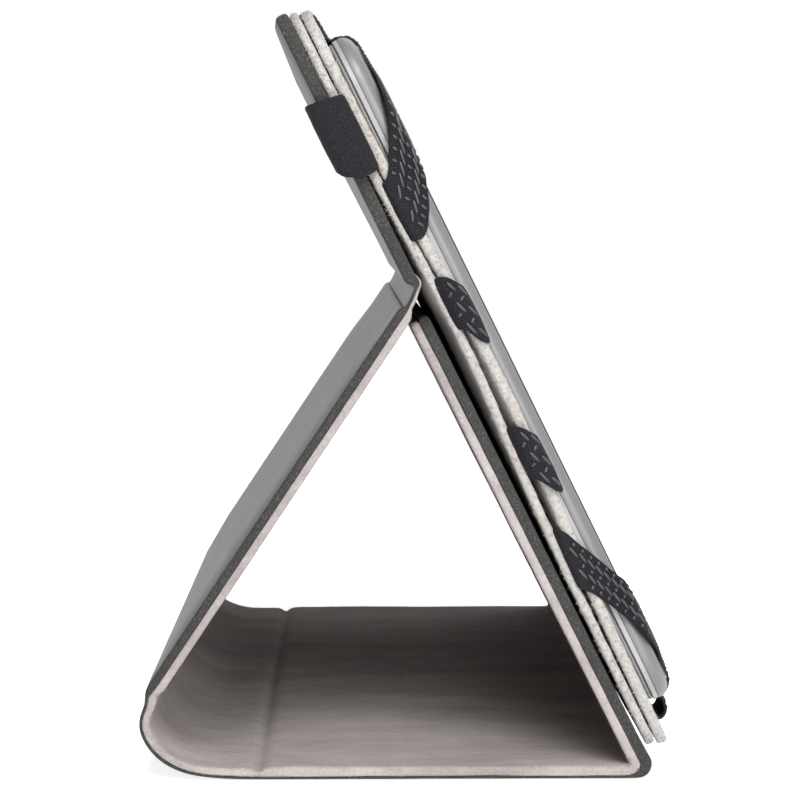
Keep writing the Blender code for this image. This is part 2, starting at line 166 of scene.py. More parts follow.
def make_floor():
    work = bmesh.new()
    bmesh.ops.create_grid(work, x_segments=8, y_segments=8, size=6.0)
    floor = finish_piece("floor", work, [floor_material()])
    floor.location.z = -FLOOR_DROP


# ---- Materials ------------------------------------------------------------------
class Shader:
    """A Principled material with the few node patterns that the case's surfaces need."""

    def __init__(self, name, colour, roughness, **settings):
        self.material = bpy.data.materials.new(name)
        self.material.use_nodes = True
        self.tree = self.material.node_tree
        self.main = self.tree.nodes["Principled BSDF"]
        self.main.inputs["Base Color"].default_value = (*colour, 1.0)
        self.main.inputs["Roughness"].default_value = roughness
        for socket, value in settings.items():
            self.main.inputs[socket.replace("_", " ")].default_value = value
        self.place = self.add("ShaderNodeTexCoord").outputs["Object"]

    def add(self, kind, **settings):
        node = self.tree.nodes.new(kind)
        for key, value in settings.items():
            setattr(node, key, value)
        return node

    def link(self, source, target):
        self.tree.links.new(source, target)

    def stretched(self, scale, source=None):
        """Object coordinates scaled on each axis."""
        mapping = self.add("ShaderNodeMapping")
        mapping.inputs["Scale"].default_value = scale
        self.link(source or self.place, mapping.inputs["Vector"])
        return mapping.outputs["Vector"]

    def noise(self, scale, detail=3.0, rough=0.55, source=None):
        node = self.add("ShaderNodeTexNoise")
        node.inputs["Scale"].default_value = scale
        node.inputs["Detail"].default_value = detail
        node.inputs["Roughness"].default_value = rough
        self.link(source or self.place, node.inputs["Vector"])
        return node.outputs["Fac"]

    def cells(self, scale, source=None):
        node = self.add("ShaderNodeTexVoronoi")
        node.inputs["Scale"].default_value = scale
        self.link(source or self.place, node.inputs["Vector"])
        return node.outputs["Distance"]

    def ramp(self, factor, stops):
        node = self.add("ShaderNodeValToRGB")
        ramp = node.color_ramp
        while len(ramp.elements) < len(stops):
            ramp.elements.new(0.5)
        for element, (position, colour) in zip(ramp.elements, stops):
            element.position = position
            element.color = (*colour, 1.0)
        self.link(factor, node.inputs["Fac"])
        return node.outputs["Color"]

    def span(self, factor, low, high):
        """The factor's 0..1 moved to low..high."""
        node = self.add("ShaderNodeMapRange")
        node.inputs["To Min"].default_value = low
        node.inputs["To Max"].default_value = high
        self.link(factor, node.inputs["Value"])
        return node.outputs["Result"]

    def multiply(self, first, second, amount=1.0):
        node = self.add("ShaderNodeMix", data_type="RGBA", blend_type="MULTIPLY")
        node.inputs["Factor"].default_value = amount
        self.link(first, node.inputs["A"])
        self.link(second, node.inputs["B"])
        return node.outputs["Result"]

    def bump(self, height, strength, distance, after=None):
        node = self.add("ShaderNodeBump")
        node.inputs["Strength"].default_value = strength
        node.inputs["Distance"].default_value = distance
        self.link(height, node.inputs["Height"])
        if after:
            self.link(after, node.inputs["Normal"])
        return node.outputs["Normal"]

    def paint(self, colour=None, roughness=None, normal=None):
        for output, socket in ((colour, "Base Color"), (roughness, "Roughness"), (normal, "Normal")):
            if output:
                self.link(output, self.main.inputs[socket])
        return self.material


def grey(value, warm=0.0):
    return (value * (1 + warm), value, value * (1 - warm))


def floor_material():
    look = Shader("studio_floor", grey(0.9), 0.9, Emission_Strength=FLOOR_GLOW)
    look.main.inputs["Emission Color"].default_value = (1.0, 1.0, 1.0, 1.0)
    tone = look.ramp(look.noise(3.0), [(0.0, grey(0.89)), (1.0, grey(0.91))])
    return look.paint(colour=tone)


def leather_material():
    """Imitation leather: fine pebbled grain with a satin gloss that varies a little."""
    look = Shader("leather_grain", grey(0.05), 0.42, Specular_IOR_Level=0.5)
    clouds = look.noise(45.0, 4.0)
    tone = look.ramp(clouds, [(0.3, grey(0.020, 0.02)), (0.7, grey(0.040, 0.03))])
    rough = look.span(look.noise(160.0, 3.0), 0.36, 0.52)
    pebbles = look.bump(look.cells(1500.0), 0.35, 0.00008)
    grain = look.bump(look.noise(3800.0, 2.0), 0.25, 0.00005, pebbles)
    return look.paint(tone, rough, grain)


def turned_edge_material():
    """The leather's turned edge: matt, with pale threads of its backing showing."""
    look = Shader("turned_edge", grey(0.04), 0.8)
    threads = look.noise(2300.0, 2.0, 0.7)
    tone = look.ramp(threads, [(0.35, grey(0.005)), (0.55, grey(0.017, 0.04)), (0.76, grey(0.08, 0.05))])
    shade = look.ramp(look.noise(120.0), [(0.3, grey(0.7)), (0.7, grey(1.0))])
    weave = look.bump(threads, 0.7, 0.0002)
    return look.paint(look.multiply(tone, shade), None, weave)


def suede_material(name, light, dark):
    """Brushed microfibre: cloudy nap with short streaks along X and a fine fibre grain."""
    look = Shader(name, light, 0.95, Sheen_Weight=0.12, Sheen_Roughness=0.5)
    look.main.inputs["Sheen Tint"].default_value = (*grey(0.8, 0.02), 1.0)
    nap = look.noise(34.0, 5.0, 0.6, look.stretched((0.5, 1.3, 1.0)))
    tone = look.ramp(nap, [(0.32, dark), (0.66, light)])
    brushed = look.noise(260.0, 4.0, 0.7, look.stretched((0.45, 1.3, 0.8)))
    tone = look.multiply(tone, look.ramp(brushed, [(0.3, grey(0.80)), (0.62, grey(1.0))]))
    specks = look.ramp(look.noise(1700.0, 2.0, 0.7), [(0.3, grey(0.72)), (0.6, grey(1.0))])
    fine = look.bump(look.noise(2400.0, 3.0, 0.7), 0.55, 0.00018)
    waves = look.bump(look.noise(90.0, 3.0), 0.35, 0.0009, fine)
    return look.paint(look.multiply(tone, specks, 0.75), None, waves)


def felt_material():
    """Pressed felt: pale matted fibres, with darker pits between them."""
    look = Shader("felt_fibres", grey(0.5, 0.04), 0.97, Sheen_Weight=0.2, Sheen_Roughness=0.6)
    look.main.inputs["Sheen Tint"].default_value = (*grey(0.9, 0.02), 1.0)
    mats = look.noise(1500.0, 4.0, 0.75, look.stretched((0.6, 1.0, 0.8)))
    tone = look.ramp(mats, [(0.30, grey(0.15, 0.07)), (0.45, grey(0.31, 0.05)), (0.7, grey(0.42, 0.035))])
    warm = look.ramp(look.noise(40.0), [(0.35, (0.93, 0.90, 0.86)), (0.65, (1.0, 1.0, 1.0))])
    pits = look.bump(mats, 0.8, 0.0004)
    return look.paint(look.multiply(tone, warm), None, pits)


def elastic_material():
    """Black woven elastic: ribs across the band and threads along it, from its UV map in mm."""
    look = Shader("woven_elastic", grey(0.012), 0.8, Specular_IOR_Level=0.25)
    flat = look.add("ShaderNodeUVMap", uv_map="woven").outputs["UV"]
    ribs = look.add("ShaderNodeTexWave", wave_type="BANDS", bands_direction="X", wave_profile="SIN")
    ribs.inputs["Scale"].default_value = 0.42
    ribs.inputs["Distortion"].default_value = 1.2
    ribs.inputs["Detail Scale"].default_value = 1.5
    look.link(flat, ribs.inputs["Vector"])
    threads = look.add("ShaderNodeTexWave", wave_type="BANDS", bands_direction="Y", wave_profile="SIN")
    threads.inputs["Scale"].default_value = 0.55
    threads.inputs["Distortion"].default_value = 0.8
    look.link(flat, threads.inputs["Vector"])
    lint = look.noise(2600.0, 2.0, 0.8)
    tone = look.ramp(lint, [(0.40, (0.004, 0.004, 0.006)), (0.62, (0.009, 0.009, 0.012)),
                            (0.80, (0.07, 0.07, 0.078))])
    first = look.bump(ribs.outputs["Fac"], 0.8, 0.00028)
    second = look.bump(threads.outputs["Fac"], 0.6, 0.0002, first)
    return look.paint(tone, None, look.bump(lint, 0.5, 0.0002, second))


def rubber_material():
    look = Shader("grip_rubber", (0.035, 0.034, 0.042), 0.32)
    tone = look.ramp(look.noise(300.0), [(0.3, (0.015, 0.015, 0.019)), (0.7, (0.030, 0.029, 0.036))])
    rough = look.span(look.noise(700.0), 0.25, 0.45)
    return look.paint(tone, rough, look.bump(look.noise(1500.0), 0.2, 0.0001))


def tablet_material(name, tone, roughness, metallic):
    """Anodised or moulded tablet surfaces, with a very fine blasted texture."""
    look = Shader(name, grey(tone), roughness, Metallic=metallic)
    colour = look.ramp(look.noise(60.0), [(0.3, grey(tone * 0.95)), (0.7, grey(tone * 1.04))])
    rough = look.span(look.noise(500.0), roughness - 0.04, roughness + 0.06)
    return look.paint(colour, rough, look.bump(look.noise(5200.0), 0.12, 0.00003))


def screen_material():
    look = Shader("tablet_screen", (0.008, 0.008, 0.01), 0.08, Specular_IOR_Level=0.25)
    tone = look.ramp(look.noise(8.0), [(0.3, (0.006, 0.006, 0.008)), (0.7, (0.011, 0.011, 0.013))])
    return look.paint(tone)


# ---- Mesh building ----------------------------------------------------------------
def finish_piece(name, work, materials, smooth_angle=40.0):
    """Turn the bmesh into an object with its materials, smooth except at sharp edges."""
    mesh = bpy.data.meshes.new(name)
    work.to_mesh(mesh)
    work.free()
    for material in materials:
        mesh.materials.append(material)
    mesh.shade_smooth()
    mesh.set_sharp_from_angle(angle=math.radians(smooth_angle))
    obj = bpy.data.objects.new(name, mesh)
    scene.collection.objects.link(obj)
    return obj


def join_rings(work, rings):
    """Faces between rings of vertices, with both ends capped."""
    count = len(rings[0])
    for first, second in zip(rings, rings[1:]):
        for index in range(count):
            after = (index + 1) % count
            work.faces.new((first[index], first[after], second[after], second[index]))
    work.faces.new(list(reversed(rings[0])))
    work.faces.new(rings[-1])


def close_surface(work, rings):
    """A closed surface through rings of vertices, facing outward."""
    join_rings(work, rings)
    bmesh.ops.triangulate(work, faces=[face for face in work.faces if len(face.verts) > 4])
    bmesh.ops.recalc_face_normals(work, faces=work.faces)
    if work.calc_volume(signed=True) < 0:
        bmesh.ops.reverse_faces(work, faces=work.faces)


def between(first, second, share):
    """Every member of two stations mixed by share."""
    return tuple(a + (b - a) * share for a, b in zip(first, second))


def even_run(first, second, step):
    """Stations every step millimetres from first to second, without the last."""
    length = (first[0] - second[0]).length
    count = max(1, round(length / step))
    return [between(first, second, index / count) for index in range(count)]


def curve_through(keys, steps):
    """Stations on a smooth curve through the keys, without the last."""
    stations = []
    for index in range(len(keys) - 1):
        before = keys[max(index - 1, 0)]
        first = keys[index]
        second = keys[index + 1]
        after = keys[min(index + 2, len(keys) - 1)]
        for step in range(steps):
            t = step / steps
            station = []
            for a, b, c, d in zip(before, first, second, after):
                station.append(0.5 * (2 * b + (c - a) * t + (2 * a - 5 * b + 4 * c - d) * t * t
                                      + (3 * b - a - 3 * c + d) * t * t * t))
            stations.append(tuple(station))
    return stations


FREE_END = (0.0, 0.06, 0.2, 0.45, 0.8, 1.3, 2.0, 3.0, 4.2, 5.6, 7.2, 9.0)


def rounded(distance, radius):
    """How far a quarter round of that radius draws in, at a distance from its end."""
    if distance >= radius:
        return 0.0
    return radius - math.sqrt(radius ** 2 - (radius - distance) ** 2)


def free_end(place, end, direction, levels, corner):
    """Stations of a free end: its corners and its edge are rounded."""
    outer, inner = levels
    thickness = abs(outer - inner)
    edge = min(thickness * 0.45, 1.1)
    toward = 1.0 if inner > outer else -1.0
    stations = []
    for distance in FREE_END:
        pull = rounded(distance, edge) * toward
        s = end + direction * distance
        half_cut = rounded(distance, corner)
        stations.append((place(s, outer + pull), place(s, inner - pull), half_cut))
    return stations


def cross_section(half, thickness, across, out_round, in_round, steps=4):
    """(y, depth from the outer face) round a panel's section, counterclockwise."""
    scale = min(1.0, 0.98 * thickness / (out_round + in_round))
    out_round *= scale
    in_round *= scale
    points = []
    for index in range(across + 1):
        points.append(((half - out_round) * (2 * index / across - 1), 0.0))
    for step in range(1, steps + 1):
        angle = math.pi / 2 * step / steps
        points.append((half - out_round * (1 - math.sin(angle)), out_round * (1 - math.cos(angle))))
    for step in range(steps + 1):
        angle = math.pi / 2 * step / steps
        inward = in_round * (1 - math.cos(angle))
        points.append((half - inward, thickness - in_round * (1 - math.sin(angle))))
    for index in range(1, across + 1):
        points.append(((half - in_round) * (1 - 2 * index / across), thickness))
    for step in range(1, steps + 1):
        angle = math.pi / 2 * (1 - step / steps)
        inward = in_round * (1 - math.cos(angle))
        points.append((-half + inward, thickness - in_round * (1 - math.sin(angle))))
    for step in range(steps):
        angle = math.pi / 2 * (1 - step / steps)
        points.append((-half + out_round * (1 - math.sin(angle)), out_round * (1 - math.cos(angle))))
    return points


def strip(name, stations, half, materials, across=30, rounds=(0.6, 0.3), ripple=(0.05, 60.0), shape=None):
    """A band along the folds' length, lofted through stations of (outer, inner, half cut).

    Faces that look along the folds take the second material.
    """
    work = bmesh.new()
    rings = []
    for outer, inner, cut in stations:
        depth = inner - outer
        thickness = depth.length
        section = cross_section(half - cut, thickness, across, *rounds)
        ring = []
        for y, down in section:
            flat = outer + depth * (down / thickness)
            ring.append(work.verts.new(Vector((flat.x, y, flat.y)) * MM))
        rings.append(ring)
    close_surface(work, rings)
    work.normal_update()
    amount, scale = ripple
    for vert in work.verts:
        push = noise.noise(vert.co * scale) * 0.65 + noise.noise(vert.co * scale * 3.1) * 0.35
        vert.co += vert.normal * (push * amount * MM)
    if shape:
        shape(work)
    work.normal_update()
    for face in work.faces:
        face.material_index = 1 if len(materials) > 1 and abs(face.normal.y) > 0.5 else 0
    return finish_piece(name, work, materials)


# ---- Leather: one strip, cut at the middle of panels and bent over each fold ------
def with_cut(stations, cut=0.0):
    """Stations whose two long edges are drawn in by cut."""
    return [(outer, inner, cut) for outer, inner in stations]


def panel_station(place, s, levels):
    return place(s, levels[0]), place(s, levels[1])


def panel_run(place, start, end, levels, step):
    """Stations along a flat panel, without the last."""
    return even_run(panel_station(place, start, levels), panel_station(place, end, levels), step)


# Where the strip bends, from the body before the fold to the body after it
APEX_FOLD = (in_row(on_leg, LEG_LENGTH - 0.5, 0, 1.2), in_row(on_holder, UPPER_LENGTH, 0, 1.6))
UPPER_LEVELS = (0.0, UPPER_THICKNESS)
LEG_LEVELS = (0.0, LEG_EDGE)
PROP_LEVELS = (0.0, PROP_EDGE)


def swell(work, place, length, thickness, ramps):
    """A panel's outer face stands a little proud between its edges."""
    origin = place(0, 0)
    along = place(1, 0) - origin
    out = place(0, 1) - origin
    for vert in work.verts:
        flat = Vector((vert.co.x, vert.co.z)) / MM - origin
        s = flat.dot(along)
        if -1 < flat.dot(out) < thickness * 0.4 and -0.5 < s < length:
            inward = HALF - abs(vert.co.y) / MM
            end = min(max(s, 0.0) / ramps[0], (length - s) / ramps[1], 1.0)
            rise = PADDING * (1 - math.exp(-inward / 5)) * end
            vert.co.x -= out.x * rise * MM
            vert.co.z -= out.y * rise * MM


def swell_upper_panel(work):
    swell(work, on_holder, UPPER_LENGTH - 6, UPPER_THICKNESS, (1.5, 52))
    swell_leg(work)


def swell_leg(work):
    swell(work, on_leg, LEG_LENGTH - 6, LEG_EDGE, (14, 14))


def leather_apex(looks):
    """The upper panel, the apex and the leg's upper half."""
    board_end = UPPER_LENGTH - 2.0
    hinge = [
        (on_holder(board_end, 0.0), on_holder(board_end, UPPER_THICKNESS)),
        (on_holder(board_end + 1.0, 0.45), on_holder(board_end + 0.7, UPPER_THICKNESS)),
        (on_holder(board_end + 1.7, 1.25), on_holder(board_end + 1.3, UPPER_THICKNESS)),
        (on_holder(board_end + 2.1, 2.0), on_holder(board_end + 2.3, UPPER_THICKNESS - 0.1)),
        (Vector((0.25, 112.2)), Vector((0.95, 112.0))),
        (Vector((-0.35, 110.7)), Vector((0.35, 110.4))),
        (Vector((-1.05, 109.3)), Vector((-0.40, 109.0))),
        (Vector((-1.75, 108.5)), Vector((-1.0, 107.7))),
        (on_leg(LEG_LENGTH - 0.6, 0.35), on_leg(LEG_LENGTH - 1.4, LEG_EDGE)),
        (on_leg(LEG_LENGTH - 1.6, 0.0), on_leg(LEG_LENGTH - 2.2, LEG_EDGE)),
        (on_leg(LEG_LENGTH - 3.4, 0.0), on_leg(LEG_LENGTH - 3.6, LEG_EDGE)),
    ]
    cut_end = panel_station(on_leg, LEG_MIDDLE, LEG_LEVELS)
    stations = free_end(on_holder, 0.0, 1, UPPER_LEVELS, TOP_RADIUS)
    stations += with_cut(panel_run(on_holder, 12, board_end, UPPER_LEVELS, 4) + curve_through(hinge, 4))
    stations += with_cut(even_run(hinge[-1], cut_end, 4) + [cut_end])
    piece = strip("leather_apex", stations, HALF, looks, shape=swell_upper_panel)
    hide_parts("upper_skin", "upper_board", "apex_fold")
    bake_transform(piece)


LEATHER_SPINE = [
    (on_leg(2.4, 0.0), on_leg(2.4, LEG_EDGE)),
    (on_leg(0.8, 0.0), on_leg(1.0, LEG_EDGE)),
    (Vector((-61.05, 20.4)), on_leg(-0.3, LEG_EDGE - 0.2)),
    (Vector((-61.2, 19.0)), Vector((-60.35, 19.0))),
    (Vector((-61.4, 17.3)), Vector((-60.68, 17.2))),
    (Vector((-61.95, 15.8)), Vector((-61.3, 15.5))),
    (Vector((-62.45, 13.9)), Vector((-61.8, 13.8))),
    (Vector((-62.45, 11.6)), Vector((-61.8, 11.8))),
    (Vector((-61.65, 9.2)), Vector((-61.05, 9.5))),
    (Vector((-60.2, 6.9)), Vector((-59.7, 7.3))),
    (Vector((-57.9, 4.5)), Vector((-57.5, 5.1))),
    (Vector((-54.9, 2.6)), Vector((-54.65, 3.2))),
    (Vector((-51.4, 1.3)), Vector((-51.2, 1.9))),
    (Vector((-47.2, 0.55)), Vector((-47.1, 1.15))),
    (Vector((-42.2, 0.15)), Vector((-42.2, 0.75))),
    (Vector((-37.6, 0.02)), Vector((-37.6, 0.62))),
    (Vector((-33.0, 0.0)), Vector((-33.0, 0.6))),
]
LEATHER_SPLIT = 40                              # station where leather_leg meets leather_spine
LEATHER_BASE = (Vector((0.0, 0.0)), Vector((0.0, 0.6)))


def leather_leg(looks):
    """The leg's lower half and the top of the spine."""
    run = even_run(panel_station(on_leg, LEG_MIDDLE, LEG_LEVELS), LEATHER_SPINE[0], 4)
    run += curve_through(LEATHER_SPINE, 4)[:LEATHER_SPLIT + 1]
    piece = strip("leather_leg", with_cut(run), HALF, looks, shape=swell_leg)
    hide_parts("leg_skin", "leg_board")
    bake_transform(piece)


def leather_spine(looks):
    """The round of the spine and the base's rear half."""
    run = curve_through(LEATHER_SPINE, 4)[LEATHER_SPLIT:]
    run += even_run(LEATHER_SPINE[-1], LEATHER_BASE, 4) + [LEATHER_BASE]
    piece = strip("leather_spine", with_cut(run), HALF, looks)
    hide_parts("spine_skin")
    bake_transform(piece)


def leather_prop(looks):
    """The base's front half, its front corner and the prop."""
    corner = [
        (Vector((47.0, 0.0)), Vector((47.0, 0.6))),
        (Vector((49.5, 0.0)), Vector((49.2, 0.65))),
        (Vector((51.6, 0.02)), Vector((50.6, 0.85))),
        (Vector((53.2, 0.25)), Vector((51.5, 1.3))),
        (Vector((54.4, 1.0)), Vector((52.1, 1.9))),
        (Vector((55.1, 2.2)), Vector((52.45, 2.5))),
        (Vector((55.25, 3.6)), Vector((52.55, 3.1))),
        (Vector((54.95, 4.7)), Vector((52.4, 3.7))),
        (on_prop(1.3, 0.0), on_prop(1.3, PROP_EDGE)),
        (on_prop(4.0, 0.0), on_prop(4.0, PROP_EDGE)),
    ]
    run = even_run(LEATHER_BASE, corner[0], 4) + curve_through(corner, 4)
    run += even_run(corner[-1], panel_station(on_prop, PROP_LENGTH - 12, PROP_LEVELS), 4)
    tip = free_end(on_prop, PROP_LENGTH, -1, PROP_LEVELS, TIP_RADIUS)
    piece = strip("leather_prop", with_cut(run) + tip[::-1], HALF, looks)
    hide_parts("base_skin", "base_board", "corner_fold", "prop_skin", "prop_board")
    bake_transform(piece)


def leather_pieces():
    looks = [leather_material(), turned_edge_material()]
    leather_apex(looks)
    leather_leg(looks)
    leather_spine(looks)
    leather_prop(looks)


# ---- Lining: suede on the inside of the strip --------------------------------------
LINING_GAP = 0.06                               # between the leather's edge and the lining
LINING_CUT = 0.25                               # how far the lining stays inside the leather's edge
LEG_LINING = (LEG_EDGE + LINING_GAP, LEG_THICKNESS)
PROP_LINING = (PROP_EDGE + LINING_GAP, PROP_THICKNESS)
LINING_SPINE = [
    (on_leg(3.5, LEG_LINING[0]), on_leg(3.5, LEG_THICKNESS)),
    (on_leg(1.6, LEG_LINING[0]), on_leg(1.6, LEG_THICKNESS - 0.05)),
    (on_leg(-0.2, LEG_EDGE - 0.1), on_leg(0.0, LEG_THICKNESS - 0.6)),
    (Vector((-60.28, 19.0)), Vector((-58.55, 18.6))),
    (Vector((-60.6, 17.2)), Vector((-59.0, 16.6))),
    (Vector((-61.22, 15.5)), Vector((-59.75, 15.0))),
    (Vector((-61.72, 13.8)), Vector((-60.15, 13.4))),
    (Vector((-61.72, 11.8)), Vector((-60.1, 12.0))),
    (Vector((-60.98, 9.5)), Vector((-59.4, 10.1))),
    (Vector((-59.65, 7.35)), Vector((-58.2, 8.3))),
    (Vector((-57.45, 5.17)), Vector((-56.3, 6.4))),
    (Vector((-54.6, 3.27)), Vector((-53.7, 4.7))),
    (Vector((-51.15, 1.97)), Vector((-50.5, 3.5))),
    (Vector((-47.05, 1.22)), Vector((-46.8, 2.8))),
    (Vector((-42.2, 0.82)), Vector((-42.1, 2.6))),
    (Vector((-38.4, 0.7)), Vector((-38.4, 2.6))),
    (Vector((-36.9, 0.68)), Vector((-36.9, 2.35))),
    (Vector((CREASE_X, 0.68)), Vector((CREASE_X, 1.55))),
    (Vector((-33.7, 0.67)), Vector((-33.7, 2.45))),
    (Vector((-32.0, 0.66)), Vector((-32.0, 2.85))),
    (Vector((-29.0, 0.66)), Vector((-29.0, 2.9))),
]
LINING_SPLIT = 27                               # station where lining_leg meets lining_spine
LINING_BASE = (Vector((0.0, 0.66)), Vector((0.0, 2.9)))


def lining_fibres(work):
    add_fibres(work, count=1200, length=0.6, seed=5)


def lining_apex(looks):
    """Under the apex and on the leg's upper half."""
    hinge = [
        panel_station(on_holder, UPPER_LENGTH - 2.2, (UPPER_THICKNESS + 0.02, UPPER_THICKNESS + 0.1)),
        panel_station(on_holder, UPPER_LENGTH, (UPPER_THICKNESS + 0.02, UPPER_THICKNESS + 0.5)),
        (Vector((1.0, 112.0)), Vector((1.55, 111.8))),
        (Vector((0.41, 110.4)), Vector((1.0, 110.1))),
        (Vector((-0.34, 109.0)), Vector((0.35, 108.7))),
        (Vector((-0.94, 107.7)), Vector((-0.05, 107.9))),
        (on_leg(LEG_LENGTH - 1.4, LEG_LINING[0]), on_leg(LEG_LENGTH - 0.3, LEG_THICKNESS - 0.8)),
        (on_leg(LEG_LENGTH - 2.2, LEG_LINING[0]), on_leg(LEG_LENGTH - 1.6, LEG_THICKNESS - 0.15)),
        panel_station(on_leg, LEG_LENGTH - 4.0, LEG_LINING),
    ]
    cut_end = panel_station(on_leg, LEG_MIDDLE, LEG_LINING)
    run = curve_through(hinge, 4) + even_run(hinge[-1], cut_end, 3) + [cut_end]
    piece = strip("lining_apex", with_cut(run, LINING_CUT), HALF, looks, 40, (0.2, 0.5), (0.12, 90.0))
    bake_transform(piece)


def lining_leg(looks):
    """On the leg's lower half and inside the top of the spine."""
    run = even_run(panel_station(on_leg, LEG_MIDDLE, LEG_LINING), LINING_SPINE[0], 3)
    stations = with_cut(run + curve_through(LINING_SPINE, 3)[:LINING_SPLIT + 1], LINING_CUT)
    piece = strip("lining_leg", stations, HALF, looks, 40, (0.2, 0.5), (0.12, 90.0), lining_fibres)
    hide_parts("leg_lining")
    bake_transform(piece)


def lining_spine(looks):
    """Inside the spine, over the crease and on the base's rear half."""
    run = curve_through(LINING_SPINE, 3)[LINING_SPLIT:]
    run += even_run(LINING_SPINE[-1], LINING_BASE, 2.5) + [LINING_BASE]
    stations = with_cut(run, LINING_CUT)
    piece = strip("lining_spine", stations, HALF, looks, 90, (0.2, 0.7), (0.3, 55.0), lining_fibres)
    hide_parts("spine_lining")
    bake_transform(piece)


def lining_prop(looks):
    """On the base's front half, in its front corner and up the prop."""
    corner = [
        (Vector((44.0, 0.66)), Vector((44.0, 2.9))),
        (Vector((47.0, 0.66)), Vector((47.0, 2.95))),
        (Vector((49.1, 0.72)), Vector((48.8, 3.0))),
        (Vector((50.55, 0.93)), Vector((49.6, 3.1))),
        (Vector((51.45, 1.38)), Vector((49.9, 3.3))),
        (Vector((52.03, 1.96)), Vector((50.0, 3.55))),
        (Vector((52.37, 2.53)), Vector((50.0, 3.85))),
        (Vector((52.47, 3.1)), Vector((49.9, 4.25))),
        (Vector((52.33, 3.67)), Vector((49.7, 4.7))),
        (on_prop(1.3, PROP_LINING[0]), on_prop(2.2, PROP_THICKNESS)),
        (on_prop(4.0, PROP_LINING[0]), on_prop(4.6, PROP_THICKNESS)),
    ]
    tip = PROP_LENGTH - 0.5
    run = even_run(LINING_BASE, corner[0], 2.5) + curve_through(corner, 4)
    run += even_run(corner[-1], panel_station(on_prop, tip - 12, PROP_LINING), 3)
    stations = with_cut(run, LINING_CUT)
    for outer, inner, cut in reversed(free_end(on_prop, tip, -1, PROP_LINING, TIP_RADIUS)):
        stations.append((outer, inner, cut + LINING_CUT))
    piece = strip("lining_prop", stations, HALF, looks, 90, (0.2, 0.7), (0.25, 70.0), lining_fibres)
    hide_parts("base_lining", "prop_lining")
    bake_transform(piece)


def lining_pieces():
    looks = [suede_material("lining_suede", (0.375, 0.34, 0.328), (0.25, 0.214, 0.21))]
    lining_apex(looks)
    lining_leg(looks)
    lining_spine(looks)
    lining_prop(looks)


# ---- Felt plates --------------------------------------------------------------------
# Span along the upper panel, levels, and curl of the long edges: amount, centre, spread
BACK_PLATE = ((0.5, 188.2), (2.95, 5.15), (1.9, 84, 34))
FRONT_PLATE = ((1.3, 189.2), (5.45, 8.0), (3.0, 98, 44))
FIBRE_FOOT = 0.06


def lift_edges(work, amount, centre, spread):
    """A plate's long edges curl towards the tablet, most of all beside the apex."""
    along = on_holder(1, 0) - on_holder(0, 0)
    out = on_holder(0, 1) - on_holder(0, 0)
    for vert in work.verts:
        flat = Vector((vert.co.x, vert.co.z)) / MM - HOLDER_TOP
        s = flat.dot(along)
        share = min(max((abs(vert.co.y) / MM - TABLET_HALF + 1.0) / 4.0, 0.0), 1.0)
        lift = amount * math.exp(-((s - centre) / spread) ** 2) * share * share
        vert.co.x += out.x * lift * MM
        vert.co.z += out.y * lift * MM


def add_fibres(work, count, length, seed):
    """Loose fibres standing off the edges that look along the folds or off the ends."""
    chance = random.Random(seed)
    edges = [face for face in work.faces if abs(face.normal.y) > 0.25]
    for _ in range(count):
        face = chance.choice(edges)
        corners = [vert.co for vert in face.verts]
        share = chance.random()
        across = corners[-1].lerp(corners[-2], share)
        foot = corners[0].lerp(corners[1], share).lerp(across, chance.random())
        lean = Vector((chance.gauss(0, 0.7), chance.gauss(0, 0.3), chance.gauss(0, 0.7)))
        tip = foot + (face.normal + lean).normalized() * length * MM * chance.uniform(0.4, 1.0)
        ring = []
        for step in range(3):
            angle = math.radians(120 * step)
            spread = Vector((math.cos(angle), 0, math.sin(angle))) * FIBRE_FOOT * MM
            ring.append(work.verts.new(foot + spread))
        point = work.verts.new(tip)
        for step in range(3):
            work.faces.new((ring[step], ring[(step + 1) % 3], point))
        work.faces.new(list(reversed(ring)))
    bmesh.ops.recalc_face_normals(work, faces=work.faces)


def felt_plate(name, shape, look, seed):
    span, levels, curl = shape
    start = free_end(on_holder, span[0], 1, levels, PLATE_RADIUS)
    end = free_end(on_holder, span[1], -1, levels, PLATE_RADIUS)
    last = FREE_END[-1]
    middle = with_cut(panel_run(on_holder, span[0] + last, span[1] - last, levels, 0.9))

    def finish_edges(work):
        lift_edges(work, *curl)
        work.normal_update()
        add_fibres(work, count=2600, length=1.1, seed=seed)

    stations = start + middle[1:] + end[::-1]
    piece = strip(name, stations, PLATE_HALF, [look], 24, (0.95, 0.95), (0.2, 420.0), finish_edges)
    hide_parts(f"{name}_felt", f"{name}_board")
    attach(piece, "holder")


def felt_pieces():
    look = felt_material()
    felt_plate("back_plate", BACK_PLATE, look, 10)
    felt_plate("front_plate", FRONT_PLATE, look, 11)


# ---- Tablet ----------------------------------------------------------------------------
def outline(span, half, radius, inset, steps=10):
    """(s, y) round a rectangle with rounded corners, drawn in by inset."""
    start, end = span[0] + inset, span[1] - inset
    half -= inset
    radius = max(radius - inset, 0.5)
    points = []
    for s, y, first in ((end, half, 0), (start, half, 90), (start, -half, 180), (end, -half, 270)):
        centre_s = s - math.copysign(radius, s - (start + end) / 2)
        centre_y = y - math.copysign(radius, y)
        for step in range(steps + 1):
            angle = math.radians(first + 90 * step / steps)
            points.append((centre_s + radius * math.cos(angle), centre_y + radius * math.sin(angle)))
    return points


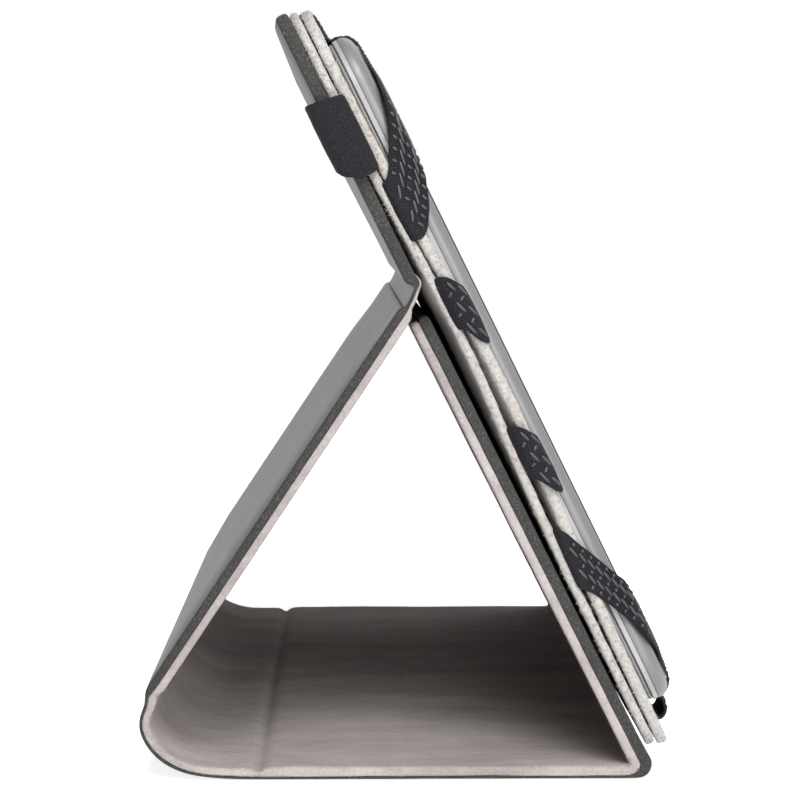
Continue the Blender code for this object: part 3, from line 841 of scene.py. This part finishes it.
# level, inset, material of the band above it: 0 body, 1 silver, 2 dark line
TABLET_PROFILE = [
    (8.2, 3.2, 0), (8.25, 1.5, 1), (8.45, 0.8, 1), (8.75, 0.5, 1), (9.0, 0.45, 2), (9.08, 0.75, 2),
    (9.3, 0.75, 2), (9.38, 0.35, 1), (9.55, 0.15, 1), (10.5, 0.1, 1), (10.62, 0.25, 0),
    (10.75, 0.05, 0), (11.5, 0.0, 0), (12.1, 0.15, 0), (12.7, 0.5, 0), (13.2, 1.0, 0),
    (13.6, 1.6, 0), (13.9, 2.3, 0), (14.1, 3.1, 0), (14.14, 3.5, 0),
]
SCREEN_PROFILE = [(13.9, 3.3), (14.22, 3.3), (14.38, 3.5), (14.42, 4.0)]


def tablet_surface(profile):
    """A bmesh closed through the tablet's outline at each (level, inset)."""
    work = bmesh.new()
    rings = []
    for level, inset in profile:
        ring = []
        for s, y in outline(TABLET_SPAN, TABLET_HALF, TABLET_RADIUS, inset):
            ring.append(work.verts.new(in_row(on_holder, s, y, level)))
        rings.append(ring)
    close_surface(work, rings)
    return work


def tablet_body():
    looks = [tablet_material("tablet_grey", 0.15, 0.42, 0.2),
             tablet_material("tablet_silver", 0.33, 0.35, 0.3),
             tablet_material("tablet_seam", 0.09, 0.5, 0.0)]
    work = tablet_surface([(level, inset) for level, inset, _ in TABLET_PROFILE])
    out = on_holder(0, 1) - on_holder(0, 0)
    for face in work.faces:
        centre = face.calc_center_median() / MM
        level = (Vector((centre.x, centre.z)) - HOLDER_TOP).dot(out)
        for (low, _, look), (high, _, _) in zip(TABLET_PROFILE, TABLET_PROFILE[1:]):
            if low < level < high:
                face.material_index = look
    piece = finish_piece("tablet_body", work, looks, 30)
    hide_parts("tablet_shell")
    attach(piece, "holder")


def tablet_screen():
    piece = finish_piece("tablet_screen", tablet_surface(SCREEN_PROFILE), [screen_material()], 30)
    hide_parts("tablet_glass")
    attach(piece, "holder")


# ---- Elastic ----------------------------------------------------------------------------
ACROSS = (0.0, 0.03, 0.1, 0.2, 0.3, 0.4, 0.5, 0.6, 0.7, 0.8, 0.9, 0.97, 1.0)
DASH_PITCH = 2.5                                # rubber dashes along an elastic strap
DASH_STEPS = (0.0, 0.08, 0.3, 0.5, 0.7, 0.92, 1.0)
EDGE_LOOP_WIDTH = 18.0
FORWARD = Vector((0, 0, 1))                     # away from the upper panel, in (s, y, level)


def lengths_along(rows):
    """How far along a strap each of its rows is, measured on its middle line."""
    total = [0.0]
    for first, second in zip(rows, rows[1:]):
        total.append(total[-1] + ((first[0] + first[1]) / 2 - (second[0] + second[1]) / 2).length)
    return total


def surface_point(rows, lengths, u, v, lift):
    """The point at u across and v along a strap, lifted off it, and the outward vector."""
    index = 0
    while index < len(rows) - 2 and lengths[index + 1] < v:
        index += 1
    share = min(max((v - lengths[index]) / (lengths[index + 1] - lengths[index]), 0.0), 1.0)
    low, high, out = between(rows[index], rows[index + 1], share)
    out = out.normalized()
    return low.lerp(high, u) + out * lift, out


def rubber_dash(work, rows, lengths, start, end, lift):
    """One short raised bead of rubber on a strap, from (u, v) to (u, v)."""
    rings = []
    for share in DASH_STEPS:
        size = math.sqrt(max(1 - (2 * share - 1) ** 4, 0.05))
        u, v = between(start, end, share)
        centre, out = surface_point(rows, lengths, u, v, lift)
        ahead_u = u + (end[0] - start[0]) * 0.05
        ahead_v = v + (end[1] - start[1]) * 0.05
        ahead, _ = surface_point(rows, lengths, ahead_u, ahead_v, lift)
        side = out.cross(ahead - centre).normalized()
        ring = []
        for step in range(8):
            angle = math.radians(45 * step)
            local = centre + side * (0.38 * size * math.cos(angle)) + out * (0.32 * size * math.sin(angle))
            ring.append(work.verts.new(in_row(on_holder, *local)))
        rings.append(ring)
    count = len(work.faces)
    join_rings(work, rings)
    work.faces.ensure_lookup_table()
    for face in work.faces[count:]:
        face.material_index = 1


def elastic_strap(name, keys, thickness, looks, dash_rows=(), crown=0.25, seed=1):
    """A woven strap through keys of (one edge, the other edge, outward), each (s, y, level)."""
    rows = curve_through(keys, 7) + [keys[-1]]
    lengths = lengths_along(rows)
    work = bmesh.new()
    woven = work.loops.layers.uv.new("woven")
    flat = {}
    rings = []
    for (low, high, out), along in zip(rows, lengths):
        out = out.normalized()
        width = (high - low).length
        ring = []
        for face_side, order in ((1, ACROSS), (0, reversed(ACROSS))):
            for u in order:
                edge = min(u, 1 - u) * width
                draw = 0.35 * thickness * max(0.0, 1 - edge / 0.5)
                bulge = crown * (1 - (2 * u - 1) ** 2)
                height = thickness - draw if face_side else draw
                local = low.lerp(high, u) + out * (height + bulge)
                vert = work.verts.new(in_row(on_holder, *local))
                flat[vert] = (u * width, along)
                ring.append(vert)
        rings.append(ring)
    close_surface(work, rings)
    for face in work.faces:
        for loop in face.loops:
            loop[woven].uv = flat[loop.vert]
    work.normal_update()
    for vert in work.verts:
        vert.co += vert.normal * (noise.noise(vert.co * 260.0 + Vector((seed, 0, 0))) * 0.12 * MM)
    lean = 1.0
    for u in dash_rows:
        for index in range(2, int(lengths[-1] / DASH_PITCH) - 1):
            v = (index + 0.25 * lean) * DASH_PITCH
            lift = thickness + crown * (1 - (2 * u - 1) ** 2)
            rubber_dash(work, rows, lengths, (u - 0.06 * lean, v), (u + 0.06 * lean, v + 1.3), lift)
        lean = -lean
    bmesh.ops.recalc_face_normals(work, faces=work.faces)
    return finish_piece(name, work, looks, 55)


def climb_rows(top, side_out):
    """A corner strap's way up the tablet's long edge.

    Each row has (along, level) of one edge and of the other, how far inward, and outward.
    """
    if top:
        return [
            ((34.4, 5.0), (49.6, 5.0), -1.5, side_out - FORWARD),
            ((34.5, 6.0), (49.6, 6.6), -4.1, side_out - FORWARD * 0.5),
            ((33.2, 7.4), (49.8, 8.0), -4.0, side_out),
            ((29.8, 9.2), (48.8, 9.6), -2.8, side_out + FORWARD * 0.3),
            ((24.9, 11.6), (45.8, 11.6), -1.4, side_out + FORWARD * 0.4),
            ((21.1, 13.0), (42.6, 13.0), -0.7, side_out + FORWARD * 0.7),
            ((17.6, 13.9), (39.6, 13.9), -0.2, side_out + FORWARD),
            ((15.0, 14.3), (36.6, 14.4), 1.8, FORWARD + side_out * 0.2),
        ]
    return [
        ((34.1, 5.2), (48.6, 5.2), -1.5, side_out - FORWARD),
        ((33.6, 5.6), (48.6, 6.4), -4.1, side_out - FORWARD * 0.5),
        ((31.4, 7.3), (46.6, 7.9), -4.1, side_out),
        ((27.4, 9.4), (41.8, 9.9), -2.9, side_out + FORWARD * 0.3),
        ((22.8, 11.6), (37.5, 11.9), -1.5, side_out + FORWARD * 0.4),
        ((19.4, 12.9), (34.6, 13.0), -0.8, side_out + FORWARD * 0.7),
        ((16.4, 13.8), (32.2, 13.9), -0.2, side_out + FORWARD),
        ((14.2, 14.3), (29.8, 14.6), 1.8, FORWARD + side_out * 0.2),
    ]


def drop_rows(top, end_out):
    """A corner strap's way down the tablet's end: rows of (along, level, outward)."""
    rows = [
        (2.2, 14.2, FORWARD + end_out * 0.5),
        (0.7, 13.3, FORWARD + end_out),
        (-0.1, 12.0, end_out + FORWARD * 0.3),
    ]
    if top:
        return rows + [
            (-0.3, 10.2, end_out),
            (-0.9, 8.9, end_out + FORWARD * 0.8),
            (-2.6, 8.35, FORWARD + end_out * 0.2),
            (-5.6, 8.15, FORWARD),
            (-8.0, 7.8, FORWARD + end_out * 0.6),
            (-8.8, 6.7, end_out),
            (-8.4, 5.5, end_out - FORWARD * 0.7),
            (-6.0, 5.05, -FORWARD),
        ]
    return rows + [
        (-0.5, 11.0, end_out + FORWARD * 0.8),
        (-2.2, 11.0, FORWARD + end_out * 0.2),
        (-4.2, 10.6, FORWARD + end_out * 0.8),
        (-5.2, 9.5, end_out),
        (-4.9, 8.6, end_out - FORWARD * 0.8),
        (-3.4, 8.15, end_out * 0.1 - FORWARD),
    ]


def corner_strap(name, side, top, looks):
    """Elastic from the groove between the plates, over one corner of the tablet, to its end."""
    corner_s = TABLET_SPAN[0] if top else TABLET_SPAN[1]
    down = 1.0 if top else -1.0

    def at(along, inward, level):
        return Vector((corner_s + down * along, side * (TABLET_HALF - inward), level))

    climb = climb_rows(top, Vector((0, side, 0)))
    keys = []
    for low, high, inward, out in climb:
        keys.append((at(low[0], inward, low[1]), at(high[0], inward, high[1]), out))
    near, far = climb[-1][0][0], climb[-1][1][0]
    end_near, end_far = (22.0, 41.0) if top else (16.0, 33.0)
    for share, rise in ((0.3, 0.15), (0.6, 0.0), (0.85, -0.05)):
        low = at(near, 1.8, 14.5 + rise).lerp(at(3.2, end_near, 14.45 + rise), share)
        high = at(far, 1.8, 14.6 + rise).lerp(at(3.2, end_far, 14.45 + rise), share)
        keys.append((low, high, FORWARD))
    for along, level, out in drop_rows(top, Vector((-down, 0, 0))):
        keys.append((at(along, end_near + 0.5, level), at(along, end_far + 0.5, level), out))
    piece = elastic_strap(name, keys, 0.85, looks, (0.14, 0.32, 0.5, 0.68, 0.86), 0.2, corner_s * side)
    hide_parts(name.replace("elastic", "corner_strap"))
    start = in_row(on_holder, corner_s, 0, 9.0)
    end = in_row(on_holder, corner_s, 0, 14.0)
    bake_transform(piece)


def edge_loop(name, side, middle, looks):
    """Elastic out of the groove that curls over the front plate's long edge."""
    side_out = Vector((0, side, 0))
    # distance from the middle, level, how far each edge shifts along the panel, outward
    rows = [
        (PLATE_HALF - 3.0, 5.5, 0.5, -4.5, side_out - FORWARD),
        (PLATE_HALF - 0.1, 7.1, 0.4, -4.5, side_out - FORWARD * 0.6),
        (PLATE_HALF + 0.7, 8.0, 0.6, -3.5, side_out - FORWARD * 0.2),
        (PLATE_HALF + 0.8, 9.2, 1.5, -1.0, side_out + FORWARD * 0.2),
        (PLATE_HALF + 0.1, 10.2, 3.4, 0.6, side_out * 0.8 + FORWARD),
        (PLATE_HALF - 1.4, 10.7, 5.0, 1.2, FORWARD - side_out * 0.3),
        (PLATE_HALF - 2.6, 9.9, 6.0, 0.6, FORWARD * 0.6 - side_out),
        (PLATE_HALF - 2.9, 8.4, 6.5, 0.0, -side_out),
    ]
    keys = []
    for y, level, low, high, out in rows:
        first = Vector((middle - EDGE_LOOP_WIDTH / 2 + low, side * y, level))
        second = Vector((middle + EDGE_LOOP_WIDTH / 2 + high, side * y, level))
        keys.append((first, second, out))
    piece = elastic_strap(name, keys, 1.05, looks, (0.15, 0.32, 0.5, 0.68, 0.85), seed=middle * side)
    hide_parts(name)
    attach(piece, "holder")


def pen_loop(look):
    """Wide woven loop from the groove round the near edge, sewn to the back of the upper panel."""
    # y, level, top end, bottom end, outward
    rows = [
        (-126.5, 5.15, 22.4, 40.0, (0, -0.1, 1)),
        (-130.6, 5.2, 22.4, 40.4, (0, -0.3, 1)),
        (-132.6, 5.5, 22.3, 40.9, (0, -0.6, 1)),
        (-133.9, 5.1, 22.2, 41.1, (0, -1.0, 0.6)),
        (-134.3, 3.6, 21.9, 41.2, (0, -1.0, 0.1)),
        (-134.3, 1.4, 21.6, 40.8, (0, -1.0, -0.05)),
        (-134.0, -0.3, 21.3, 40.0, (0, -1.0, -0.25)),
        (-133.2, -1.4, 21.1, 39.0, (0, -0.8, -0.8)),
        (-131.6, -1.9, 21.0, 38.0, (0, -0.2, -1)),
        (-128.5, -1.8, 21.0, 37.6, (0, 0.15, -1)),
        (-124.5, -1.0, 21.0, 37.8, (0, 0.3, -1)),
        (-120.5, -0.3, 21.0, 38.0, (0, 0.1, -1)),
    ]
    keys = []
    for y, level, low, high, out in rows:
        keys.append((Vector((low, y, level)), Vector((high, y, level)), Vector(out)))
    piece = elastic_strap("pen_loop", keys, 1.05, [look], crown=0.1)
    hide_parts("pen_loop", "pen_loop_tail")
    in_row(on_holder, 30, -130.6, 0)
    in_row(on_holder, 30, -133.6, 0)
    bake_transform(piece)


def elastic_pieces():
    looks = [elastic_material(), rubber_material()]
    for side, word in ((-1, "near"), (1, "far")):
        corner_strap(f"elastic_{word}_top", side, True, looks)
        corner_strap(f"elastic_{word}_bottom", side, False, looks)
        edge_loop(f"edge_loop_{word}_upper", side, 77.5, looks)
        edge_loop(f"edge_loop_{word}_lower", side, 115.5, looks)
    pen_loop(looks[0])


make_camera()
make_studio()
make_floor()
leather_pieces()
lining_pieces()
felt_pieces()
tablet_body()
tablet_screen()
elastic_pieces()
